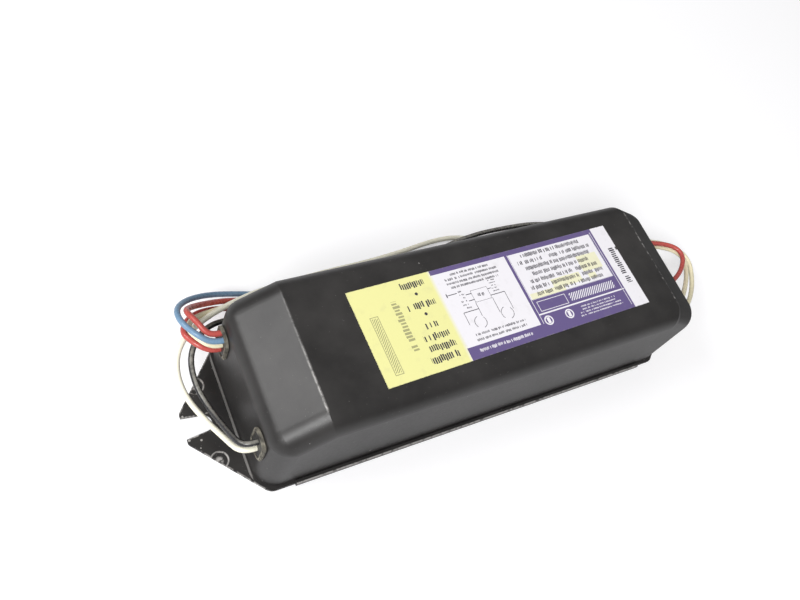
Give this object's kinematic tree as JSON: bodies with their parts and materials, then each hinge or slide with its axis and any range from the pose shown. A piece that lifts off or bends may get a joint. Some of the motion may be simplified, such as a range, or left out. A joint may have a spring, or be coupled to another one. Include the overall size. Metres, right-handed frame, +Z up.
{
  "type": "fluorescent lamp ballast",
  "caption": "Potted magnetic ballast for fluorescent lamps: a black drawn steel can on a hemmed base plate with a notched tab at each end, a printed label and coloured leads.",
  "frame": {"origin": "underside of the base plate, at the middle of its outline", "axes": "+X along the can, +Y to its back, +Z up through the rating label"},
  "size_m": [0.2632, 0.0902, 0.0502],
  "materials": {
    "black_enamel": "worn semi-gloss baked enamel",
    "label_foil": "printed foil in yellow, white and purple",
    "fibre": "pale vulcanised fibre",
    "paper": "kraft insulating board",
    "laminations": "stacked silicon steel",
    "band_steel": "strip steel",
    "winding": "enamelled copper wire",
    "tape": "cloth tape",
    "cell_can": "drawn aluminium",
    "film_roll": "wound film",
    "tinned_brass": "tinned blades",
    "resistor_body": "coated resistor",
    "sleeve": "varnished sleeving",
    "compound": "black asphalt potting compound",
    "protector_body": "pressed steel case",
    "wire_black": "insulated lead",
    "wire_white": "insulated lead",
    "wire_blue": "insulated lead",
    "wire_red": "insulated lead",
    "wire_cream": "insulated lead",
    "copper": "bare solid copper"
  },
  "bodies": {
    "root": {"base_plate": "black_enamel", "bleed_resistor": "resistor_body", "capacitor_can": "cell_can", "capacitor_cover": "cell_can", "capacitor_roll": "film_roll", "capacitor_sleeve": "sleeve", "capacitor_terminal_back": "tinned_brass", "capacitor_terminal_front": "tinned_brass", "capacitor_wire_back": "wire_black", "capacitor_wire_front": "wire_black", "case": "black_enamel", "core_band": "band_steel", "core_e_stack": "laminations", "core_i_stack": "laminations", "floor_liner": "paper", "gap_spacer": "fibre", "lamp_conductor_blue": "copper", "lamp_conductor_cream": "copper", "lamp_conductor_cream_2": "copper", "lamp_conductor_cream_3": "copper", "lamp_conductor_red_1": "copper", "lamp_conductor_red_2": "copper", "lamp_conductor_red_3": "copper", "lamp_lead_blue": "wire_blue", "lamp_lead_cream": "wire_cream", "lamp_lead_cream_2": "wire_cream", "lamp_lead_cream_3": "wire_cream", "lamp_lead_red_1": "wire_red", "lamp_lead_red_2": "wire_red", "lamp_lead_red_3": "wire_red", "lamp_splice_blue": "sleeve", "lamp_splice_cream": "sleeve", "lamp_splice_cream_2": "sleeve", "lamp_splice_cream_3": "sleeve", "lamp_splice_red_1": "sleeve", "lamp_splice_red_2": "sleeve", "lamp_splice_red_3": "sleeve", "lead_bushing_back_left": "fibre", "lead_bushing_front_left": "fibre", "lead_bushing_front_right": "fibre", "line_conductor_black": "copper", "line_conductor_white": "copper", "line_lead_black": "wire_black", "line_lead_white": "wire_white", "line_splice_black": "sleeve", "line_splice_white": "sleeve", "magnetic_shunt_back": "laminations", "magnetic_shunt_front": "laminations", "potting_compound": "compound", "primary_coil": "winding", "primary_coil_tube": "paper", "primary_coil_wrap": "tape", "rating_label": "label_foil", "secondary_coil": "winding", "secondary_coil_tube": "paper", "secondary_coil_wrap": "tape", "thermal_protector": "protector_body"}
  },
  "joints": []
}
